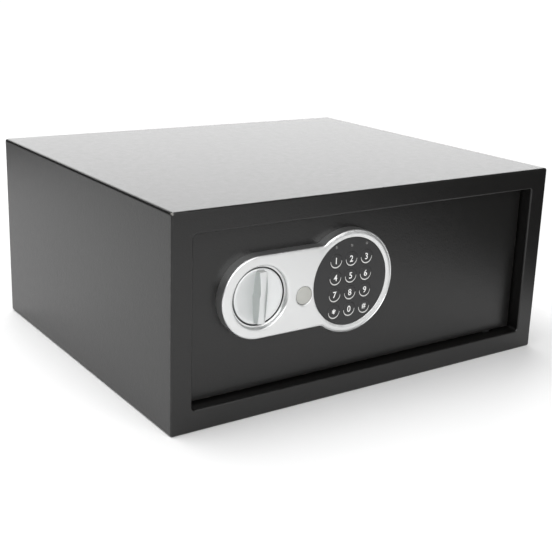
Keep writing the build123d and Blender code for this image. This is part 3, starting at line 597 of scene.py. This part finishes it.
# ---- knob and cap -------------------------------------------------------------------------
DISH_DEPTH = 2.6 * MM
DISH_R = 22.5 * MM
DISH_SPHERE_R = (DISH_R ** 2 + DISH_DEPTH ** 2) / (2 * DISH_DEPTH)
GRIP_HALF = 4.0 * MM
GRIP_STEP = 0.5 * MM            # the grip's halves stand this far to either side
GRIP_END_R = 23.75 * MM
STEP_LOW, STEP_HIGH = 0.8 * MM, 4.2 * MM    # the left side's step, above the middle
GRIP_END_FALL = 2.5 * MM        # the front falls back this far at its ends
GRIP_ROUND = 0.7 * MM           # rounding of the grip's front edge
GRIP_TOP = KNOB_LOW.y + 0.02 * MM


def dish_y(r):
    """Y of the knob's hollow face at this distance from its centre."""
    if r > DISH_R:
        return KNOB_RIM
    return KNOB_RIM + DISH_DEPTH - DISH_SPHERE_R + math.sqrt(DISH_SPHERE_R ** 2 - r * r)


def grip_outline():
    """Closed, evenly spaced outline of the grip with soft corners, as (x, z) from the knob's centre."""
    corner = []
    for side, low, high in ((1, -STEP_HIGH, -STEP_LOW), (-1, STEP_LOW, STEP_HIGH)):
        for i in range(41):
            z = side * GRIP_END_R * (-1 + i / 20)
            shift = GRIP_STEP * (2 * smooth(z, low, high) - 1)
            x = side * GRIP_HALF + shift
            limit = math.sqrt(max(GRIP_END_R ** 2 - x * x, 0.0))
            corner.append(Vector((x, max(-limit, min(limit, z)))))
    loop, spacing, carry = [], 0.45 * MM, 0.0
    for a, b in zip(corner, corner[1:] + corner[:1]):
        run = (b - a).length
        while carry < run:
            loop.append(a.lerp(b, carry / run))
            carry += spacing
        carry -= run
    for _ in range(5):
        loop = [(loop[i - 1] + 2 * p + loop[(i + 1) % len(loop)]) / 4 for i, p in enumerate(loop)]
    return loop


def build_knob():
    """Dished disc with the grip running across it, blended in at its foot."""
    bm = bmesh.new()
    face = [(r, dish_y(r)) for r in (i * DISH_R / 12 for i in range(13))]
    rim = [(23.2, 0.0), (24.3, 0.02), (24.75, 0.18), (25.0, 0.5), (25.07, 0.9), (25.07, 3.25),
           (24.8, 3.55), (10.0, 3.55), (0.0, 3.55)]
    face += [(r * MM, KNOB_RIM + fall * MM) for r, fall in rim]
    revolve(bm, KNOB_X, PANEL_Z, face, WELL_SIDES)
    loop = grip_outline()
    count = len(loop)
    outward = []
    for i in range(count):
        along = loop[(i + 1) % count] - loop[i - 1]
        outward.append(Vector((along.y, -along.x)).normalized())
    middle = 0.5 * (GRIP_TOP + KNOB_RIM)
    reach = GRIP_END_R + 0.5 * MM
    # each ring of the grip: out from its outline, off the dish, and its own Y where it has one
    levels = [(0.7, 0.2, None), (0.4, -0.12, None), (0.2, -0.35, None), (0.1, -0.7, None),
              (0.05, -1.3, None), (0.0, 0.0, middle)]
    for angle in range(0, 91, 15):
        a = math.radians(angle)
        drawn_in = -0.15 - GRIP_ROUND / MM * (1 - math.cos(a))
        levels.append((drawn_in, 0.0, GRIP_TOP + GRIP_ROUND * (1 - math.sin(a))))
    rings = []
    for out, lift, y in levels:
        ring = []
        for p, n in zip(loop, outward):
            q = p + n * (out * MM)
            if q.length > reach:
                q = q.normalized() * reach
            depth = dish_y(q.length) + lift * MM if y is None else y
            if y is not None and y < middle:
                depth += GRIP_END_FALL * (q.y / GRIP_END_R) ** 2
            ring.append(bm.verts.new((KNOB_X + q.x, depth, PANEL_Z + q.y)))
        rings.append(ring)
    for a, b in zip(rings, rings[1:]):
        bridge(bm, a, b)
    bmesh.ops.triangulate(bm, faces=[bm.faces.new(rings[-1])])
    finish_mesh("knob_turned_grip", bm, "knob_chrome", "turning_knob", ["knob"], 40.0)


def build_cap():
    """Shallow dome with a rounded rim and a hollow back."""
    bm = bmesh.new()
    rim, top = CAP_LOW.y + 0.8 * MM, CAP_LOW.y + 0.02 * MM
    r = CAP_R - 0.02 * MM
    inner, wall = r - 1.2 * MM, rim + 1.2 * MM
    dome = (0.15, 0.3, 0.45, 0.6, 0.75, 0.87)
    profile = [(0.0, top)] + [(r * t, top + (rim - top) * 0.84 * t ** 2) for t in dome]
    profile += [(r * 0.955, rim - 0.14 * MM), (r * 0.985, rim + 0.1 * MM), (r, rim + 0.5 * MM),
                (r, CAP_HIGH.y - 0.2 * MM), (r - 0.2 * MM, CAP_HIGH.y), (inner, CAP_HIGH.y),
                (inner, wall), (0.0, wall)]
    revolve(bm, CAP_X, CAP_Z, profile, CAP_SIDES)
    finish_mesh("cap_dome", bm, "cap_grey", "key_lock_cap", ["override_cap"], 45.0)


build_knob()
build_cap()


# ---- keypad printing and lenses -----------------------------------------------------------
WHITE_INK = plastic("white_ink", (0.80, 0.80, 0.79), 0.5, 0.02, 3000.0, 0.05)
GREY_INK = plastic("grey_ink", (0.55, 0.55, 0.54), 0.5, 0.02, 3000.0, 0.06)
INK_LIFT = 0.05 * MM


def ink_piece(name, mesh, ink, body):
    """Printed mark on a key: its mesh in one ink, riding on the key's body."""
    mesh.materials.clear()
    mesh.materials.append(ink)
    piece = link(name, mesh)
    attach(piece, body)


def digit(name, text, x, y, z, height, bold, body):
    """Generic digit or sign as a thin raised print, centred on (x, z)."""
    curve = bpy.data.curves.new(name + "_line", "FONT")
    curve.body = text
    curve.size = 1.0
    curve.offset = bold
    curve.extrude = 0.01
    curve.resolution_u = 6
    maker = link(name + "_maker", curve)
    bpy.context.view_layer.update()
    evaluated = maker.evaluated_get(bpy.context.evaluated_depsgraph_get())
    mesh = bpy.data.meshes.new_from_object(evaluated)
    bpy.data.objects.remove(maker)
    xs = [v.co.x for v in mesh.vertices]
    ys = [v.co.y for v in mesh.vertices]
    scale = height / (max(ys) - min(ys))
    centre = Vector(((max(xs) + min(xs)) / 2, (max(ys) + min(ys)) / 2, 0))
    for v in mesh.vertices:
        flat = (v.co - centre) * scale
        v.co = (x + flat.x, y - (INK_LIFT if v.co.z > 0 else -INK_LIFT), z + flat.y)
    ink_piece(name, mesh, WHITE_INK, body)


def crescent(name, x, y, z, r, body):
    """Lower half ring, widest at its foot."""
    bm = bmesh.new()
    sections = []
    count = 36
    for i in range(count + 1):
        a = math.pi + math.pi * i / count
        half = (0.26 + 0.34 * math.sin(math.pi * i / count) ** 1.5) * MM
        ends = []
        for reach, depth in ((r + half, INK_LIFT), (r + half * 0.8, -INK_LIFT),
                             (r - half * 0.8, -INK_LIFT), (r - half, INK_LIFT)):
            ends.append(bm.verts.new((x + reach * math.cos(a), y + depth, z + reach * math.sin(a))))
        sections.append(ends)
    for a, b in zip(sections, sections[1:]):
        for k in range(4):
            bm.faces.new((a[k], a[(k + 1) % 4], b[(k + 1) % 4], b[k]))
    bm.faces.new(sections[0])
    bm.faces.new(sections[-1])
    bmesh.ops.recalc_face_normals(bm, faces=bm.faces)
    mesh = bpy.data.meshes.new(name)
    bm.to_mesh(mesh)
    bm.free()
    ink_piece(name, mesh, GREY_INK, body)


# what each key shows, its height in mm and how far its strokes are thickened
SIGNS = {"star": ("*", 4.8, 0.022), "hash": ("#", 5.4, 0.008)}
DIGIT_HEIGHT, DIGIT_BOLD = 5.9, 0.009
for key in KEY_NAMES:
    low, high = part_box("key_" + key)
    x, z = (low.x + high.x) / 2, (low.z + high.z) / 2
    sign, height, bold = SIGNS.get(key, (key, DIGIT_HEIGHT, DIGIT_BOLD))
    digit("digit_" + key, sign, x, low.y, z + 0.5 * MM, height * MM, bold, "push_key_" + key)
    crescent("crescent_" + key, x, low.y, z + 0.3 * MM, 6.1 * MM, "push_key_" + key)

for side in ("left", "middle", "right"):
    low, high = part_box("led_" + side)
    x, z, r = (low.x + high.x) / 2, (low.z + high.z) / 2, (high.x - low.x) / 2
    bm = bmesh.new()
    back = high.y - 0.1 * MM
    dome = [(0.0, low.y - 0.28 * MM), (r * 0.4, low.y - 0.24 * MM), (r * 0.75, low.y - 0.12 * MM),
            (r * 0.93, low.y + 0.05 * MM), (r * 0.98, low.y + 0.4 * MM), (r * 0.98, back), (0.0, back)]
    revolve(bm, x, z, dome, 32)
    finish_mesh("lens_" + side, bm, "led_clear", "door", ["led_" + side])


# ---- felt mat -----------------------------------------------------------------------------
MAT_HOLE_R = 13.0 * MM
MAT_HOLES = [(x, y) for x in (-0.15, 0.15) for y in (-0.1, 0.1)]


def build_mat():
    """Felt sheet with a soft cut edge, lying a little unevenly."""
    width, length = MAT_HIGH.x - MAT_LOW.x, MAT_HIGH.y - MAT_LOW.y
    mid_x, mid_y = (MAT_LOW.x + MAT_HIGH.x) / 2, (MAT_LOW.y + MAT_HIGH.y) / 2
    corner = 5 * MM

    def border(inset):
        r = corner - inset
        loop = []
        for sx, sy, start in ((1, -1, -90), (1, 1, 0), (-1, 1, 90), (-1, -1, 180)):
            cx, cy = mid_x + sx * (width / 2 - corner), mid_y + sy * (length / 2 - corner)
            turns = [math.radians(start + 15 * k) for k in range(7)]
            loop += [(cx + r * math.cos(a), cy + r * math.sin(a)) for a in turns]
        dense = []
        for i, (a, b) in enumerate(zip(loop, loop[1:] + loop[:1])):
            parts = 60 if i % 7 == 6 else 1
            dense += [(a[0] + (b[0] - a[0]) * k / parts, a[1] + (b[1] - a[1]) * k / parts)
                      for k in range(parts)]
        return dense

    def hole(cx, cy, inset):
        return [(x, y) for x, _, y in circle_at(cx, cy, MAT_HOLE_R + inset, 0, 40)]

    def lift(x, y):
        swell = math.sin(31 * x + 17 * y) * math.sin(23 * y - 9 * x)
        return 0.22 * MM * (swell + 0.4 * math.sin(120 * x) * math.sin(95 * y))

    bm = bmesh.new()
    soft = 0.9 * MM
    thick = MAT_HIGH.z - MAT_LOW.z
    top = MAT_HIGH.z - 0.32 * MM
    under = MAT_LOW.z + 0.05 * MM
    steps = [(0.25 * MM, under), (0.0, MAT_LOW.z + 0.3 * thick), (0.02 * MM, MAT_LOW.z + 0.6 * thick),
             (0.25 * MM, top - 0.35 * MM), (soft, top)]
    tops = []
    for make in [border] + [lambda inset, c=c: hole(*c, inset) for c in MAT_HOLES]:
        rings = [ring_of(bm, [(x, y, z) for x, y in make(inset)]) for inset, z in steps]
        for a, b in zip(rings, rings[1:]):
            bridge(bm, a, b)
        for v in rings[-1]:
            v.co.z += lift(v.co.x, v.co.y)
        tops.append(make(soft))
    for level, inset in (("top", soft), ("bottom", 0.25 * MM)):
        loops = tops if level == "top" else [border(inset)] + [hole(*c, inset) for c in MAT_HOLES]
        points, edges = joined_loops(loops)
        grid = (6 if level == "top" else 40) * MM
        clear = 2 * MM

        def inside(x, y, gap=0.0):
            if abs(x - mid_x) > width / 2 - inset - gap or abs(y - mid_y) > length / 2 - inset - gap:
                return False
            if abs(x - mid_x) > width / 2 - corner - gap and abs(y - mid_y) > length / 2 - corner - gap:
                return gap == 0.0
            return all(math.hypot(x - cx, y - cy) > MAT_HOLE_R + inset + gap for cx, cy in MAT_HOLES)

        for i in range(int(width / grid) + 1):
            for j in range(int(length / grid) + 1):
                x, y = MAT_LOW.x + (i + 0.5 * (j % 2)) * grid, MAT_LOW.y + j * grid
                if inside(x, y, clear):
                    points.append(Vector((x, y)))
        verts, _, faces, *_ = delaunay_2d_cdt(points, edges, [], 1, 1e-7)
        made = []
        for v in verts:
            z = top + lift(v.x, v.y) if level == "top" else under
            made.append(bm.verts.new((v.x, v.y, z)))
        rim = MAT_HOLE_R + inset + 0.01 * MM
        for face in faces:
            over_hole = any(all(math.hypot(verts[i].x - cx, verts[i].y - cy) < rim for i in face)
                            for cx, cy in MAT_HOLES)
            if not over_hole:
                bm.faces.new([made[i] for i in face])
    piece = finish_mesh("felt_mat", bm, "mat_felt", "safe_body", ["floor_mat"], 60.0)


build_mat()


# ---- stage, light and camera --------------------------------------------------------------
FLOOR_CENTRE = (-0.2, -0.1, 0.0)
FLOOR_FADE = (1.0, 1.6)              # from solid to clear, by distance from the centre
FLOOR_RIGHT_FADE = (0.31, 0.44)      # the same by X, so that the door mirrors the dim room
CAMERA_TURN = (35.41, 15.92, 2.14)   # azimuth, elevation and roll in degrees
CAMERA_PLACE = (-0.5795, -0.8582, 0.3801)
CAMERA_SHIFT = (-0.0254, -0.0417)
FOCAL_LENGTH, SENSOR_WIDTH = 65.75, 36.0


def build_floor():
    """Pale floor that fades into the pale surroundings away from the safe."""
    bm = bmesh.new()
    bmesh.ops.create_grid(bm, x_segments=2, y_segments=2, size=3.0)
    mesh = bpy.data.meshes.new("floor")
    bm.to_mesh(mesh)
    bm.free()
    floor = link("floor", mesh)
    floor.location = (0.0, 0.0, BODY_LOW.z - 0.05 * MM)
    p = Paint("floor_paper")
    off = p.add("ShaderNodeVectorMath", operation="DISTANCE")
    p.put(p.place, off.inputs[0])
    off.inputs[1].default_value = FLOOR_CENTRE
    split = p.add("ShaderNodeSeparateXYZ")
    p.put(p.place, split.inputs[0])
    around = p.span(off.outputs["Value"], *FLOOR_FADE)
    fade = p.maths("MAXIMUM", around, p.span(split.outputs["X"], *FLOOR_RIGHT_FADE))
    p.set(colour=(0.88, 0.88, 0.88), rough=0.7, level=0.2)
    clear = p.add("ShaderNodeBsdfTransparent")
    blend = p.add("ShaderNodeMixShader")
    p.put(fade, blend.inputs[0])
    p.put(p.shader.outputs[0], blend.inputs[1])
    p.put(clear.outputs[0], blend.inputs[2])
    p.put(blend.outputs[0], p.tree.nodes["Material Output"].inputs["Surface"])
    mesh.materials.append(p.material)


def area_light(name, place, target, width, height, radiance):
    """Soft panel facing target; radiance is how bright its surface looks."""
    lamp = bpy.data.lights.new(name, "AREA")
    lamp.shape = "RECTANGLE"
    lamp.size, lamp.size_y = width, height
    lamp.energy = radiance * math.pi * width * height
    light = link(name, lamp)
    light.location = place
    light.rotation_euler = (Vector(target) - Vector(place)).to_track_quat("-Z", "Y").to_euler()
    light.visible_camera = False


def build_surroundings():
    """Dim room with a white backdrop."""
    world = bpy.data.worlds.new("surroundings")
    bpy.context.scene.world = world
    world.use_nodes = True
    tree = world.node_tree
    room = tree.nodes["Background"]
    room.inputs["Color"].default_value = (1.0, 1.0, 1.0, 1.0)
    room.inputs["Strength"].default_value = 0.07
    backdrop = tree.nodes.new("ShaderNodeBackground")
    backdrop.inputs["Color"].default_value = (1.0, 1.0, 1.0, 1.0)
    backdrop.inputs["Strength"].default_value = 1.05
    seen = tree.nodes.new("ShaderNodeLightPath").outputs["Is Camera Ray"]
    blend = tree.nodes.new("ShaderNodeMixShader")
    tree.links.new(seen, blend.inputs[0])
    tree.links.new(room.outputs[0], blend.inputs[1])
    tree.links.new(backdrop.outputs[0], blend.inputs[2])
    tree.links.new(blend.outputs[0], tree.nodes["World Output"].inputs["Surface"])


def build_camera():
    """Camera to the front left of the safe, a little above it."""
    azimuth, elevation, roll = (math.radians(v) for v in CAMERA_TURN)
    level = Vector((math.cos(azimuth), -math.sin(azimuth), 0.0))
    rise = Vector((math.sin(azimuth) * math.sin(elevation), math.cos(azimuth) * math.sin(elevation),
                   math.cos(elevation)))
    right = math.cos(roll) * level + math.sin(roll) * rise
    up = math.cos(roll) * rise - math.sin(roll) * level
    back = right.cross(up)
    lens = bpy.data.cameras.new("camera")
    lens.lens, lens.sensor_width = FOCAL_LENGTH, SENSOR_WIDTH
    lens.shift_x, lens.shift_y = CAMERA_SHIFT
    camera = link("camera", lens)
    camera.matrix_world = Matrix((*zip(right, up, back, CAMERA_PLACE), (0.0, 0.0, 0.0, 1.0)))
    bpy.context.scene.camera = camera


build_floor()
build_surroundings()
area_light("back_panel_light", (1.15, 2.15, 0.95), (0.0, 0.0, 0.15), 3.4, 1.5, 2.5)
area_light("overhead", (-0.6, 0.4, 2.3), (-0.1, 0.0, 0.0), 2.2, 2.2, 4.0)
area_light("front_panel", (-0.5, -2.6, 1.6), (-0.05, -0.18, 0.1), 3.8, 2.2, 3.15)
area_light("front_low", (0.5, -2.7, 0.42), (-0.05, -0.18, 0.12), 3.8, 0.6, 0.9)
build_camera()
bpy.context.scene.view_settings.view_transform = "Standard"
